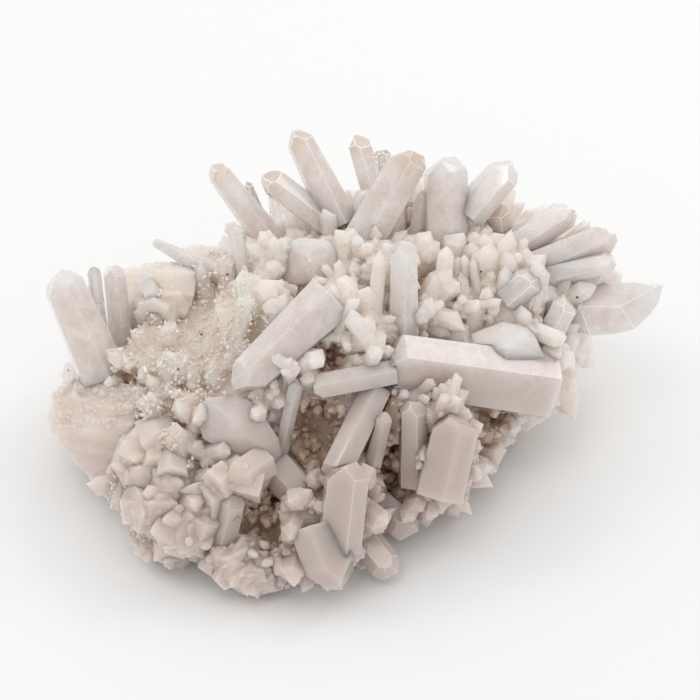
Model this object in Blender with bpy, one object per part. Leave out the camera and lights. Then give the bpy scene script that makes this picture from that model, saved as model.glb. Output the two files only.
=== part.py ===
"""Quartz crystal cluster: milky prisms grown over a lump of massive quartz with a broken flat base.

Units are metres and +Z is up. The cluster rests on Z = 0, its display side looks along -Y and up,
and its length runs along X. Sizes inside the tables are millimetres, turned to metres by MM.
"""
import math
import random

import bmesh
import bpy
from mathutils import Matrix, Vector, noise
from mathutils.bvhtree import BVHTree

MM = 0.001

# Driving dimensions
DISPLAY_TILT = math.radians(40)     # how far the display side leans back from upright
MIDDLE_HEIGHT = 38                  # height of the display side's middle, mm
SOCKET_GAP = 0.3 * MM               # clearance between a crystal and what it has grown into
FACE_SLOPE = math.radians(51.8)     # quartz: angle from the long axis to a pointed end's face normal
LUMP_MIDDLE = Vector((-8, 6, 24)) * MM
LUMP_FINENESS = 4                   # how often the lump's facets are halved
LEDGE_SIZE = 11 * MM
LEDGE_HEIGHT = 5 * MM
SWELL_SIZE = 24 * MM
SWELL_HEIGHT = 5 * MM
ROOT_DEPTH = 3 * MM                 # how far a crystal's root reaches into the lump
SMALL_CRYSTALS = 86                 # small crystals fused to the lump
SMALL_WIDTHS = (3 * MM, 6.5 * MM)
LOWEST_SMALL = 9 * MM               # no small crystal grows nearer the ground than this
GROWTH_SEED = 23

# Directions of the display side: across it, up it, and out of it
ACROSS = Vector((1, 0, 0))
UPWARD = Vector((0, math.sin(DISPLAY_TILT), math.cos(DISPLAY_TILT)))
OUTWARD = Vector((0, -math.cos(DISPLAY_TILT), math.sin(DISPLAY_TILT)))
MIDDLE = Vector((0, 0, MIDDLE_HEIGHT * MM))

# The rough lump, as overlapping boulders: centre and half sizes in mm
BOULDERS = [
    ((-10, 8, 25), (56, 50, 40)),
    ((-55, 0, 24), (33, 31, 25)),
    ((37, 22, 34), (34, 31, 26)),
    ((-22, -38, 9), (36, 25, 20)),
    ((8, 28, 46), (37, 29, 21)),
    ((-78, 2, 28), (10, 14, 12)),
    ((-50, -28, 10), (27, 25, 18)),
    ((60, 26, 44), (12, 15, 10)),
    ((44, 36, 48), (18, 16, 14)),
    ((18, -24, 20), (20, 15, 15)),
    ((-8, 26, 8), (56, 38, 22)),
]

# Crystals on the display side. Root and tip are (across, up) in mm on the display side; lift raises
# the root off the lump, rise brings the tip nearer the viewer than the root.
# name: root, lift, tip, rise, width, depth, roll, taper, blunt
PRISMS = {
    "left_edge_crystal": ((-76, -2), 3, (-88.5, 27.5), 10, 12.5, 9, 12, 2, 0.25),
    "left_twin_small": ((-76, 7), 2, (-77.5, 28), 9, 4.2, 4, 25, 1, 0),
    "left_twin_tall": ((-70, 6), 2, (-72, 29.5), 11, 6.8, 5.5, 5, 1, 0.3),
    "left_block_crystal": ((-65, 11), 1, (-64, 26.5), 3, 7.5, 7, 20, 0, 0.7),
    "left_stub_crystal": ((-58, 15), 1, (-57, 29), 5, 5.2, 5, 8, 2, 0),
    "left_blade_crystal": ((-41, 26), 2, (-60.5, 35.5), 4, 4.4, 3.2, 15, 5, 0),
    "top_left_prism": ((-25, 36), 2, (-43, 59.5), 5, 7.6, 7, 18, 2.5, 0.1),
    "top_left_side_crystal": ((-26, 38), 1, (-32.5, 54), 2, 3.4, 3.2, 0, 1, 0),
    "top_left_splinter": ((-33, 25), 2, (-35, 40.5), 5, 3.6, 3.2, 28, 2, 0),
    "upper_left_prism": ((-9, 42), 4, (-28, 56), 5, 7.8, 7, 10, 1, 0.15),
    "top_peak_prism": ((-5, 44), 3, (-18, 69.5), 5, 9.2, 8, 14, 4, 0.1),
    "top_chisel_prism": ((6, 50), 1, (0.5, 69), 0, 7.2, 7, 3, 1, 0.1),
    "top_small_crystal": ((10, 52), 1, (8, 64.5), 1, 5.2, 5, 25, 2, 0.4),
    "upper_broad_crystal": ((4, 38), 4, (19.5, 64.5), 2, 12, 9, 5, 1, 0.45),
    "upper_right_prism": ((28, 33), 3, (27.3, 63.5), 5, 12.5, 10, 10, 1, 0.5),
    "back_right_crystal": ((36, 46), 1, (49, 60.5), 1, 9.5, 8, 20, 2, 0.35),
    "middle_upright_prism": ((14.5, 8), 4, (14.5, 36), 12, 8.4, 7.5, 8, 1, 0.3),
    "slanting_prism": ((-9, 16), 7, (-35.5, -9.5), 6, 13.5, 11, 9, 3, 0.1),
    "bridge_prism": ((9, -4), 1, (-15, -8.5), 5, 7.2, 7, 4, 0, 0.8),
    "front_great_prism": ((56, -7.2), 12, (3, 0.5), 22, 18.5, 13, 6, 0.8, 0.7),
    "front_down_prism": ((-27, -27), -1, (-12, -43.5), 6, 10.5, 9, 12, 1, 0.35),
    "front_diagonal_prism": ((5.5, -11), 0, (-7.5, -37), 10, 8.8, 8, 7, 0, 0.6),
    "lower_upright_prism": ((-4, -53), 4, (-1, -28), 6, 12.5, 9, 14, 1, 0.35),
    "foot_crystal": ((-9, -51), 3, (-3.5, -69), 2, 16, 11, 10, 4, 0.25),
    "foot_side_crystal": ((4, -54), 5, (12.5, -64.5), 4, 9, 8, 22, 2, 0.3),
    "lower_right_stub": ((9, -44), 2, (19, -52), 4, 9.5, 8, 5, 2, 0.3),
    "right_lower_upright": ((17.5, -34), 6, (17.5, -11), 12, 7.8, 7, 12, 1, 0.3),
    "right_lower_splinter": ((6, -29), 3, (9.5, -15), 7, 4.8, 4.4, 9, 1, 0),
    "right_front_prism": ((25.8, -37.6), 8, (31.5, -13.5), 4, 13, 10, 6, 1, 0.5),
    "cavity_slat_left": ((-21, -25), 2, (-16.5, -5), 7, 4.2, 3.8, 10, 0, 0.1),
    "right_fan_upper": ((51, 36), 2, (68, 46.5), 2, 9, 7, 16, 1, 0.5),
    "right_fan_middle": ((56, 28), 2, (80.5, 38.5), 3, 9.5, 7.5, 3, 1.5, 0.4),
    "right_fan_lower": ((58, 25), 3, (79.5, 30), 4, 6.5, 6, 18, 2, 0.3),
    "right_end_crystal": ((51, -12), 3, (63, -9), 5, 9, 8.5, 12, 2, 0.35),
    "lower_left_upright": ((-39, -52), 3, (-35.5, -37.5), 6, 9.5, 8, 4, 1, 0.2),
    "lower_left_stub": ((-41, -40), 2, (-30.5, -31), 5, 6.6, 6, 20, 1, 0.3),
    "pinkish_end_crystal": ((44, 42), 1, (43, 48), 5, 7, 7, 10, 1, 0.5),
    "slot_crystal": ((19, 42), 1, (17.5, 46.5), 4, 6.5, 6, 0, 1, 0.6),
    "lower_left_block": ((-58, -27), 2, (-66, -43), 0, 13, 11, 6, 1, 0.7),
    "bottom_left_block": ((-45, -42), 3, (-53, -60), 1, 15, 11, 14, 1, 0.6),
    "left_bottom_stub": ((-54, -40), 2, (-63.5, -51), 0, 10, 9, 20, 1, 0.5),
    "right_slope_crystal": ((59, 8), 2, (65, 20), 4, 8, 7, 8, 1, 0.5),
    "right_upper_stub": ((48, 20), 2, (56, 27), 4, 8.5, 7.5, 20, 1, 0.4),
    "bottom_left_crystal": ((-38, -58), 4, (-25.5, -66), 4, 7.5, 6.5, 9, 1, 0.2),
}

# Broken and flattened crystals: a place on the lump (across, up), then corner points
# (across, up, out), with out counted from the lump's surface at that place
SHARDS = {
    "left_wedge": ((-74, -18), [
        (-92.5, -17, -9), (-88, -19.5, -4), (-78, -21, 5), (-62, -21, 11),
        (-89, -8, -11), (-73, -5.5, -2), (-62, -8, 6),
        (-86.5, -28, -8), (-77.5, -37.5, -6), (-71, -38.5, -2), (-66, -30, 5),
        (-80, -12, -20), (-60, -12, -16), (-72, -32, -14),
    ]),
    "lens_crystal": ((-14, 29), [
        (-23, 24.5, 8), (-24.5, 33, 7), (-20.5, 35.5, 9), (-15.5, 37, 10), (-7, 36, 10),
        (-4.5, 32.5, 10), (-5, 26, 11), (-10, 23.5, 12), (-15.5, 22, 11), (-21, 22.5, 9),
        (-14, 29, 13.5), (-19, 27, -6), (-8, 27, -6), (-13, 33, -6),
    ]),
    "front_left_crystal": ((-36, -18), [
        (-46, -17, 4), (-43.5, -11, 5), (-34, -10, 6), (-28.5, -13, 6), (-22, -23, 5),
        (-21, -27.5, 4), (-22.5, -29.5, 4), (-32, -29.5, 5), (-37.5, -27, 5), (-44.5, -23, 4),
        (-35, -19, 10), (-26, -25.5, 8), (-42, -16, -5), (-28, -19, -4), (-40, -23, -5),
    ]),
    "shard_fan_crystal": ((45, 4), [
        (32.5, 6.5, 7), (36.5, 8.5, 5), (44.5, 11.5, 4), (53, 9.5, 4), (57, 1, 5),
        (50, -1, 8), (45, -4, 10), (39.5, 2.5, 10), (46, 4, 11),
        (38, 6, -3), (52, 6, -3), (48, 0, -3),
    ]),
    "right_blade": ((66, 16), [
        (64, 20.5, 0), (71.5, 23, 2), (84.5, 23.5, 2), (91.5, 22.3, 1), (93.5, 22.8, 0),
        (92.3, 17.5, -1), (90, 14, -1), (85, 9.3, 0), (79, 7.8, 1), (71.5, 7.2, 1), (64, 9, 0),
        (80, 16, 5), (68, 16, 5), (66, 12, -7), (74, 18, -6), (86, 18, -4),
    ]),
}

# Crystals on the back, which looks along +Y: bearing round the lump and height angle of the root,
# both in degrees, then length, width, depth, roll, and how far the crystal leans sideways
BACK_PRISMS = {
    "back_left_prism": (150, 4, 15, 8, 7, 10, -12),
    "back_tall_prism": (104, 18, 26, 9.5, 8, 22, 6),
    "back_middle_prism": (84, 14, 22, 11, 9, 5, -8),
    "back_short_prism": (66, 24, 15, 7, 6, 14, 12),
    "back_right_prism": (52, 12, 20, 8.5, 8, 2, 8),
    "back_low_prism": (114, 2, 15, 9, 7.5, 17, 14),
    "back_low_right_prism": (74, -4, 14, 8, 7, 25, -10),
    "back_left_low_prism": (156, 4, 16, 7.5, 7, 8, -6),
}

# Recesses between the crystals of the display side: place (across, up), then half sizes across,
# up and out, in mm
HOLLOWS = [
    ((-11, -21), (10, 11, 13)),
    ((-26, -39), (7, 7, 10)),
    ((-27, -50), (8, 7, 9)),
    ((13, -33), (7, 9, 12)),
    ((-8, 1), (7, 5, 9)),
]

# The clearest crystals; the others are milky
CLEAR_CRYSTALS = (
    "left_twin_small", "left_blade_crystal", "top_left_prism", "top_left_side_crystal",
    "top_left_splinter", "top_peak_prism", "top_small_crystal", "back_right_crystal",
    "bridge_prism", "front_diagonal_prism", "front_down_prism", "cavity_slat_left",
    "right_lower_splinter", "back_tall_prism", "back_right_prism",
)


def display_point(across, up, out):
    """A point of the display side from millimetres across it, up it and out of it."""
    return MIDDLE + (ACROSS * across + UPWARD * up + OUTWARD * out) * MM


def make_material(name, colour, roughness):
    """A plain Principled material."""
    made = bpy.data.materials.new(name)
    made.use_nodes = True
    shader = made.node_tree.nodes["Principled BSDF"]
    shader.inputs["Base Color"].default_value = colour
    shader.inputs["Roughness"].default_value = roughness
    shader.inputs["Metallic"].default_value = 0
    made.diffuse_color = colour
    return made


def add_object(name, bm, surface=None):
    """Turn a bmesh into a named object, with a material where one is given."""
    bmesh.ops.recalc_face_normals(bm, faces=bm.faces)
    mesh = bpy.data.meshes.new(name)
    bm.to_mesh(mesh)
    bm.free()
    if surface:
        mesh.materials.append(surface)
    added = bpy.data.objects.new(name, mesh)
    bpy.context.scene.collection.objects.link(added)
    return added


def combine(target, tool, operation):
    """Work one exact Boolean into the target's mesh and delete the tool."""
    step = target.modifiers.new("Combine", "BOOLEAN")
    step.operation = operation
    step.solver = "EXACT"
    step.object = tool
    graph = bpy.context.evaluated_depsgraph_get()
    combined = bpy.data.meshes.new_from_object(target.evaluated_get(graph), depsgraph=graph)
    target.modifiers.clear()
    target.data = combined
    bpy.data.objects.remove(tool)


def keep_largest(target):
    """Keep only the largest of a mesh's separate shells."""
    bm = bmesh.new()
    bm.from_mesh(target.data)
    waiting = set(bm.verts)
    shells = []
    while waiting:
        front = [waiting.pop()]
        shell = []
        while front:
            vert = front.pop()
            shell.append(vert)
            found = {edge.other_vert(vert) for edge in vert.link_edges} & waiting
            waiting -= found
            front.extend(found)
        shells.append(shell)
    shells.sort(key=shell_span)
    for shell in shells[:-1]:
        bmesh.ops.delete(bm, geom=shell, context="VERTS")
    bm.to_mesh(target.data)
    bm.free()


def shell_span(shell):
    """Diagonal of the box round some vertices."""
    sides = [[vert.co[axis] for vert in shell] for axis in range(3)]
    return math.hypot(*(max(side) - min(side) for side in sides))


def slice_off(bm, point, normal):
    """Cut a convex body with a plane, drop the side the normal points to and cap the cut."""
    whole = bm.verts[:] + bm.edges[:] + bm.faces[:]
    cut = bmesh.ops.bisect_plane(
        bm, geom=whole, dist=1e-7, plane_co=point, plane_no=normal, clear_outer=True)
    rim = [item for item in cut["geom_cut"] if isinstance(item, bmesh.types.BMEdge)]
    if rim:
        bmesh.ops.contextual_create(bm, geom=rim)


def prism_body(length, form, swell, dice, end_faces=6):
    """A quartz crystal along +Z, rooted at the origin: six uneven sides and a three or six-faced end.

    The form is its width and depth across the sides, its roll and taper in degrees, and the share of
    the end that is broken off. Swell moves every face outwards by that distance.
    """
    width, depth, roll, taper, blunt = form
    bm = bmesh.new()
    bmesh.ops.create_cube(bm, size=4 * length)
    half = (width + depth) / 4
    upright = Vector((0, 0, 1))
    for side in range(6):
        angle = math.radians(60 * side + roll)
        flat = Vector((math.cos(angle), math.sin(angle), 0))
        reach = math.hypot(width / 2 * flat.x, depth / 2 * flat.y) * dice.uniform(0.92, 1.06)
        tilt = math.radians(taper * dice.uniform(0.6, 1.4))
        facing = (flat + upright * math.tan(tilt)).normalized()
        slice_off(bm, flat * reach + upright * length / 2 + facing * swell, facing)
        if side % 2 == 0 and end_faces == 3:
            continue
        sharp = flat * math.sin(FACE_SLOPE) + upright * math.cos(FACE_SLOPE)
        drop = dice.uniform(-0.18, 0.1) if side % 2 else dice.uniform(0.15, 0.55)
        slice_off(bm, upright * (length + half * drop) + sharp * swell, sharp)
    if blunt:
        broken = Vector((dice.uniform(-0.5, 0.5), dice.uniform(-0.5, 0.5), 1)).normalized()
        slice_off(bm, upright * (length - half * blunt * 1.3) + broken * swell, broken)
    slice_off(bm, upright * -swell, -upright)
    return bm


def stand(bm, foot, axis, sideways):
    """Put a crystal's root at a point, its length along an axis and its width near another."""
    up = axis.normalized()
    right = (sideways - up * sideways.dot(up)).normalized()
    turn = Matrix((right, up.cross(right), up)).transposed().to_4x4()
    bmesh.ops.transform(bm, matrix=Matrix.Translation(foot) @ turn, verts=bm.verts)


def boulder_reach(aim, centre, half_sizes):
    """How far from the lump's middle a boulder reaches along a direction, or 0 where it misses."""
    start = [(LUMP_MIDDLE[axis] - centre[axis] * MM) / (half_sizes[axis] * MM) for axis in range(3)]
    step = [aim[axis] / (half_sizes[axis] * MM) for axis in range(3)]
    square = sum(part * part for part in step)
    cross = sum(part * other for part, other in zip(step, start))
    inside = cross * cross - square * (sum(part * part for part in start) - 1)
    if inside < 0:
        return 0
    return (math.sqrt(inside) - cross) / square


class Lump:
    """The rough massive quartz that carries every crystal."""

    def __init__(self, surface):
        self.rock = self.rough_boulders(surface)
        self.bare = self.search_tree()
        for place, half_sizes in HOLLOWS:
            self.hollow_out(place, half_sizes)
            self.bare = self.search_tree()

    @staticmethod
    def rough_boulders(surface):
        """One closed rock: a sphere of broad facets drawn out to the boulders, with broken ledges."""
        bm = bmesh.new()
        bmesh.ops.create_icosphere(bm, subdivisions=LUMP_FINENESS, radius=1)
        for vert in bm.verts:
            aim = vert.co.normalized()
            reach = max(boulder_reach(aim, *boulder) for boulder in BOULDERS)
            place = LUMP_MIDDLE + aim * reach
            reach += noise.noise(place / SWELL_SIZE) * SWELL_HEIGHT
            reach += (noise.cell(place / LEDGE_SIZE) - 0.5) * LEDGE_HEIGHT
            vert.co = LUMP_MIDDLE + aim * reach
        return add_object("matrix", bm, surface)

    def search_tree(self):
        """A search tree of the rock as it stands."""
        bm = bmesh.new()
        bm.from_mesh(self.rock.data)
        tree = BVHTree.FromBMesh(bm)
        bm.free()
        return tree

    def hollow_out(self, place, half_sizes):
        """Sink a recess into the display side."""
        turn = Matrix((ACROSS, UPWARD, OUTWARD)).transposed().to_4x4()
        centre = Matrix.Translation(display_point(*place, self.surface_out(place)))
        shape = centre @ turn @ Matrix.Diagonal(Vector(half_sizes) * MM).to_4x4()
        bm = bmesh.new()
        bmesh.ops.create_icosphere(bm, subdivisions=2, radius=1, matrix=shape)
        combine(self.rock, add_object("Hollow", bm), "DIFFERENCE")

    def break_base(self):
        """Break the underside off flat, for the cluster to rest on."""
        bm = bmesh.new()
        bmesh.ops.create_cube(bm, size=1, matrix=Matrix.Translation((0, 0, -0.5)))
        combine(self.rock, add_object("Ground", bm), "DIFFERENCE")

    def join_flat_facets(self):
        """Join the rock's facets that lie in one plane."""
        bm = bmesh.new()
        bm.from_mesh(self.rock.data)
        bmesh.ops.dissolve_limit(bm, angle_limit=math.radians(1.5), verts=bm.verts, edges=bm.edges)
        bm.to_mesh(self.rock.data)
        bm.free()

    def surface_out(self, place):
        """How far out of the display side's middle the bare rock lies at a place, in mm."""
        hit = self.bare.ray_cast(display_point(*place, 150), -OUTWARD)[0]
        if hit is None:
            hit = self.bare.find_nearest(display_point(*place, 0))[0]
        return (hit - MIDDLE).dot(OUTWARD) / MM

    def surface_towards(self, aim):
        """Where a line from the rock's middle leaves the bare rock."""
        return self.bare.ray_cast(LUMP_MIDDLE + aim * 0.3, -aim)[0]

    def grow_small_crystals(self):
        """Fuse short crystals to the rock, pointing out of it and a little up."""
        dice = random.Random(GROWTH_SEED)
        rim = (-0.1, 0.35)
        facets = [facet for facet in self.rock.data.polygons
                  if facet.center.z > LOWEST_SMALL and facet.normal.z > -0.3
                  and not rim[0] < facet.normal.dot(OUTWARD) < rim[1]]
        chosen = dice.choices(facets, weights=[facet.area for facet in facets], k=SMALL_CRYSTALS)
        for centre, normal in [(facet.center.copy(), facet.normal.copy()) for facet in chosen]:
            outward = (centre - LUMP_MIDDLE).normalized()
            wobble = Vector((dice.gauss(0, 0.35), dice.gauss(0, 0.35), dice.gauss(0, 0.3)))
            axis = (normal * 0.6 + outward * 0.6 + Vector((0, 0, 0.15)) + wobble).normalized()
            width = dice.uniform(*SMALL_WIDTHS)
            form = (width, width * dice.uniform(0.75, 1), dice.uniform(0, 60), 2, dice.choice((0, 0, 0.4)))
            small = prism_body(width * dice.uniform(1.6, 2.6), form, 0, dice, end_faces=3)
            stand(small, centre - axis * width / 2, axis, Vector((0.3, 1, 0.2)))
            combine(self.rock, add_object("Small crystal", small), "UNION")


def display_crystal(lump, name, swell):
    """A crystal of the display side, as a mesh in its place."""
    root, lift, tip, rise, width, depth, *turns = PRISMS[name]
    out = lump.surface_out(root) + lift
    foot = display_point(*root, out)
    axis = display_point(*tip, out + rise) - foot
    buried = axis.normalized() * ROOT_DEPTH
    form = (width * MM, depth * MM, *turns)
    bm = prism_body((axis + buried).length, form, swell, random.Random(name))
    stand(bm, foot - buried, axis, axis.cross(OUTWARD))
    return bm


def back_crystal(lump, name, swell):
    """A crystal of the back, as a mesh in its place."""
    bearing, height, length, width, depth, roll, lean = BACK_PRISMS[name]
    bearing = math.radians(bearing)
    height = math.radians(height)
    aim = Vector((math.cos(bearing), math.sin(bearing), math.tan(height))).normalized()
    sideways = aim.cross(Vector((0, 0, 1))).normalized()
    axis = (aim + sideways * math.tan(math.radians(lean)) + Vector((0, 0, 0.35))).normalized()
    form = (width * MM, depth * MM, roll, 2, 0.2)
    bm = prism_body(length * MM + ROOT_DEPTH, form, swell, random.Random(name))
    stand(bm, lump.surface_towards(aim) - axis * ROOT_DEPTH, axis, sideways)
    return bm


def shard_crystal(lump, name, swell):
    """A broken or flattened crystal, as a mesh in its place."""
    place, corners = SHARDS[name]
    out = lump.surface_out(place)
    bm = bmesh.new()
    for across, up, over in corners:
        bm.verts.new(display_point(across, up, out + over))
    hull = bmesh.ops.convex_hull(bm, input=bm.verts[:])
    inner = [item for item in hull["geom_interior"] if isinstance(item, bmesh.types.BMVert)]
    bmesh.ops.delete(bm, geom=inner, context="VERTS")
    middle = sum((vert.co for vert in bm.verts), Vector()) / len(bm.verts)
    for vert in bm.verts:
        vert.co += (vert.co - middle).normalized() * swell * 1.6
    bmesh.ops.recalc_face_normals(bm, faces=bm.faces)
    bmesh.ops.dissolve_limit(bm, angle_limit=math.radians(4), verts=bm.verts, edges=bm.edges)
    return bm


def nearness(bm):
    """How far out of the display side a mesh reaches."""
    return max((vert.co - MIDDLE).dot(OUTWARD) for vert in bm.verts)


def boxes_meet(one, other):
    """Whether two objects' boxes meet or nearly meet."""
    for axis in range(3):
        own = [vert.co[axis] for vert in one.data.vertices]
        near = [vert.co[axis] for vert in other.data.vertices]
        if min(own) > max(near) + 2 * SOCKET_GAP or min(near) > max(own) + 2 * SOCKET_GAP:
            return False
    return True


def grow_crystals(lump):
    """Every named crystal, the outermost ones whole and each other one grown round those before it.

    A socket is then cut into the lump for each of them.
    """
    milky = make_material("milky_quartz", (0.80, 0.76, 0.74, 1), 0.25)
    clear = make_material("clear_quartz", (0.88, 0.86, 0.85, 1), 0.1)
    makers = {name: display_crystal for name in PRISMS}
    makers.update({name: shard_crystal for name in SHARDS})
    makers.update({name: back_crystal for name in BACK_PRISMS})
    bodies = {name: make(lump, name, 0) for name, make in makers.items()}
    grown = []
    for name in sorted(bodies, key=lambda name: -nearness(bodies[name])):
        surface = clear if name in CLEAR_CRYSTALS else milky
        crystal = add_object(name, bodies[name], surface)
        for older in grown:
            if boxes_meet(crystal, older):
                tool = add_object("Older crystal", makers[older.name](lump, older.name, SOCKET_GAP))
                combine(crystal, tool, "DIFFERENCE")
        keep_largest(crystal)
        grown.append(crystal)
    for crystal in grown:
        socket = add_object("Socket", makers[crystal.name](lump, crystal.name, SOCKET_GAP))
        combine(lump.rock, socket, "DIFFERENCE")


def main():
    """Clear the scene and build the cluster."""
    for leftover in list(bpy.data.objects):
        bpy.data.objects.remove(leftover)
    lump = Lump(make_material("massive_quartz", (0.72, 0.66, 0.61, 1), 0.55))
    lump.grow_small_crystals()
    lump.break_base()
    grow_crystals(lump)
    keep_largest(lump.rock)
    lump.join_flat_facets()


main()
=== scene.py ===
import math

import bmesh
import bpy
import numpy as np
from mathutils import Matrix, Vector, noise
from mathutils.bvhtree import BVHTree
from mathutils.kdtree import KDTree


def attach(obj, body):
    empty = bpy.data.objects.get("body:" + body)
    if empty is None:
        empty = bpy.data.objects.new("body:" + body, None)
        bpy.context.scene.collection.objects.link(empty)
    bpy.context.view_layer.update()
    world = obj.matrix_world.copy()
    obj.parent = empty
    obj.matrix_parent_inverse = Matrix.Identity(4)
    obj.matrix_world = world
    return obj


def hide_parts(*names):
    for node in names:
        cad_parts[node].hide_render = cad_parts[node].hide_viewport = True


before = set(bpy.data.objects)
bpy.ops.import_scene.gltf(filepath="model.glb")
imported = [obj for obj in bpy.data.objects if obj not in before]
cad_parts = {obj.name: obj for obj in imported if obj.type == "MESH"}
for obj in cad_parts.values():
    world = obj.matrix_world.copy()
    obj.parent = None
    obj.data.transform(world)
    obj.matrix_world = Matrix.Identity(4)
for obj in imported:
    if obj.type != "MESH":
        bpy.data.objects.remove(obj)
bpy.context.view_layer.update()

# The display. The specimen lies on a white table top under a broad soft lamp, with three softboxes
# and three small lamps for the sparkle round it. It is looked at from 40 degrees above the table.
MM = 0.001
LOOK_DOWN = math.radians(40)
ACROSS = Vector((1, 0, 0))
UPWARD = Vector((0, math.sin(LOOK_DOWN), math.cos(LOOK_DOWN)))
OUTWARD = Vector((0, -math.cos(LOOK_DOWN), math.sin(LOOK_DOWN)))
MIDDLE = Vector((0, 0, 38)) * MM
AIM = (-1.05, 3)
EYE_FAR = 1.4583
EYE_LENS = 250
EYE_SEES_TO = 20
ROOM_COLOUR = (1, 0.982, 0.97, 1)
ROOM_LIGHT = 0.745
# Name, place and size in metres, and power in watts
LAMPS = (
    ("lamp_above", (-0.05, 0.3, 0.9), 1.4, 1.3),
    ("softbox_left", (-0.6, 0.1, 0.7), 0.3, 0.5),
    ("softbox_right", (0.55, 0.35, 0.65), 0.3, 0.6),
    ("softbox_front", (-0.2, -0.35, 1.0), 0.3, 0.5),
    ("glint_lamp_right", (0.45, 0.2, 0.7), 0.05, 0.12),
    ("glint_lamp_front", (-0.15, -0.5, 0.85), 0.05, 0.12),
    ("glint_lamp_far", (0.15, 0.6, 0.6), 0.05, 0.12),
)
TABLE_COLOUR = (0.975, 0.992, 0.998, 1)
TABLE_ROUGHNESS = 0.9
TABLE_CORNERS = [(-3, -3, 0), (3, -3, 0), (3, 3, 0), (-3, 3, 0)]


def display_point(across, up, out=0.0):
    """A place on the display side, from millimetres across it, up it and out of it."""
    return MIDDLE + (ACROSS * across + UPWARD * up + OUTWARD * out) * MM


def put_in_scene(name, data):
    """A new object in the scene."""
    made = bpy.data.objects.new(name, data)
    bpy.context.scene.collection.objects.link(made)
    return made


def turn_towards(made, place):
    """Turns a lamp or camera towards a place."""
    made.rotation_mode = "QUATERNION"
    made.rotation_quaternion = (place - made.location).to_track_quat("-Z", "Y")


aim = display_point(*AIM)
eye = put_in_scene("camera", bpy.data.cameras.new("camera"))
eye.data.lens = EYE_LENS
eye.data.clip_end = EYE_SEES_TO
eye.location = aim + OUTWARD * EYE_FAR
turn_towards(eye, aim)
bpy.context.scene.camera = eye
bpy.context.scene.view_settings.view_transform = "Standard"

room = bpy.data.worlds.new("room")
bpy.context.scene.world = room
room.use_nodes = True
room.node_tree.nodes["Background"].inputs["Color"].default_value = ROOM_COLOUR
room.node_tree.nodes["Background"].inputs["Strength"].default_value = ROOM_LIGHT

for name, place, size, power in LAMPS:
    lamp = put_in_scene(name, bpy.data.lights.new(name, "AREA"))
    lamp.data.size = size
    lamp.data.energy = power
    lamp.location = place
    turn_towards(lamp, MIDDLE)

table_mesh = bpy.data.meshes.new("table_top")
table_mesh.from_pydata(TABLE_CORNERS, [], [(0, 1, 2, 3)])
table_top = put_in_scene("table_top", table_mesh)
table_finish = bpy.data.materials.new("white_table")
table_finish.use_nodes = True
table_surface = table_finish.node_tree.nodes["Principled BSDF"]
table_surface.inputs["Base Color"].default_value = TABLE_COLOUR
table_surface.inputs["Roughness"].default_value = TABLE_ROUGHNESS
table_mesh.materials.append(table_finish)

# The lump of massive quartz that all the crystals stand on: white to grey, sugary where it is
# broken, stained brown in its recesses. It is one piece with the small crystals that line it, and
# it rests on its broken underside.
LUMP_MIDDLE = Vector((-8, 6, 24)) * MM
SAME_POINT = 1e-6
# Places on the display side, in mm across and up it, with their half sizes. The sugary ones are
# massive quartz without crystals; the recesses hold only fine, rounded and stained ones.
SUGARY = [
    ((-44.5, 7.5), (19, 19)), ((-61, -24), (9, 16)), ((-70, 4), (13, 10)),
    ((-56, -42), (18, 14)), ((-42, 28), (14, 5)), ((-37, -6), (10, 8)),
]
RECESSES = [
    ((-11, -21), (11, 12)), ((-26, -39), (8, 8)), ((-27, -50), (9, 8)), ((13, -33), (8, 10)),
    ((-8, 1), (6, 5)), ((20, 22), (4, 3.5)), ((54, 14), (3.5, 3)), ((41, -21), (7, 8)),
    ((-67, -4), (5, 3)), ((10, -20), (9, 12)),
]
# A part of the display side that gets more painted shade, darker and browner, as though it lay lower
SHADED_PART = [((8, -25), (36, 24))]
# How far out a zone ends and how wide its soft rim is, in half sizes, and how deep it reaches
ZONE_END = 1.15
ZONE_RIM = 0.35
ZONE_BACK = -14 * MM


def share_in(zones, where):
    """How far a point is inside one of the display side's zones, 0 to 1."""
    across = where.x / MM
    up = (where - MIDDLE).dot(UPWARD) / MM
    if (where - MIDDLE).dot(OUTWARD) < ZONE_BACK:
        return 0.0
    most = 0.0
    for (middle_across, middle_up), (half_across, half_up) in zones:
        far = math.hypot((across - middle_across) / half_across, (up - middle_up) / half_up)
        most = max(most, min(1.0, max(0.0, (ZONE_END - far) / ZONE_RIM)))
    return most


def split_long_edges(points, faces, longest):
    """Halves every edge over the length that suits its place; the triangles stay joined."""
    while True:
        halves = {}
        for a, b, c in faces:
            for one, other in ((a, b), (b, c), (c, a)):
                edge = (min(one, other), max(one, other))
                if edge not in halves:
                    middle = (points[one] + points[other]) / 2
                    if (points[one] - points[other]).length > longest(middle):
                        halves[edge] = len(points)
                        points.append(middle)
        if not halves:
            return faces
        smaller = []
        for a, b, c in faces:
            for _ in range(3):
                if (min(a, b), max(a, b)) in halves:
                    break
                a, b, c = b, c, a
            ab, bc, ca = (halves.get((min(e), max(e))) for e in ((a, b), (b, c), (c, a)))
            if ab is None:
                smaller.append((a, b, c))
            elif bc is None and ca is None:
                smaller += [(a, ab, c), (ab, b, c)]
            elif ca is None:
                smaller += [(a, ab, c), (ab, bc, c), (ab, b, bc)]
            elif bc is None:
                smaller += [(a, ab, ca), (ab, c, ca), (ab, b, c)]
            else:
                smaller += [(a, ab, ca), (ab, b, bc), (ca, bc, c), (ab, bc, ca)]
        faces = smaller


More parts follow.
